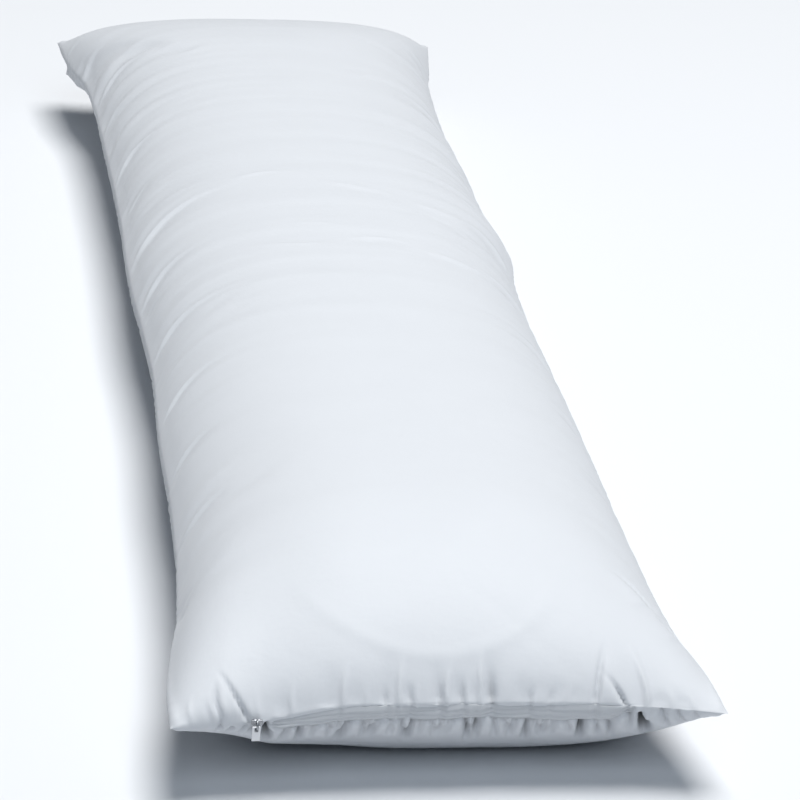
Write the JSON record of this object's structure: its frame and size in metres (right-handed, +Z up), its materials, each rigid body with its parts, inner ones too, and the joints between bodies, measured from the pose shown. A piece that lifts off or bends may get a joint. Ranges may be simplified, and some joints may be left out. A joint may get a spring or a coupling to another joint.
{
  "type": "body pillow",
  "caption": "Long filled body pillow, plain white, drawn in along its sides with pointed corners, soft folds across it and a covered zip along one short end",
  "frame": {"origin": "middle of the footprint on the surface the pillow lies on", "axes": "+Y along the length, away from the zip end; +Z up, out of the crown; +X across"},
  "size_m": [0.3887, 1.4, 0.1476],
  "materials": {
    "pillow_cloth": "smooth close-woven white microfibre, faintly cool",
    "flap_cloth": "the same cloth, pressed flat",
    "slider_metal": "satin grey metal",
    "pull_metal": "satin pale metal"
  },
  "bodies": {
    "root": {"pillow": "pillow_cloth", "zip_flap": "flap_cloth", "zip_slider": "slider_metal", "zip_pull": "pull_metal"}
  },
  "joints": []
}
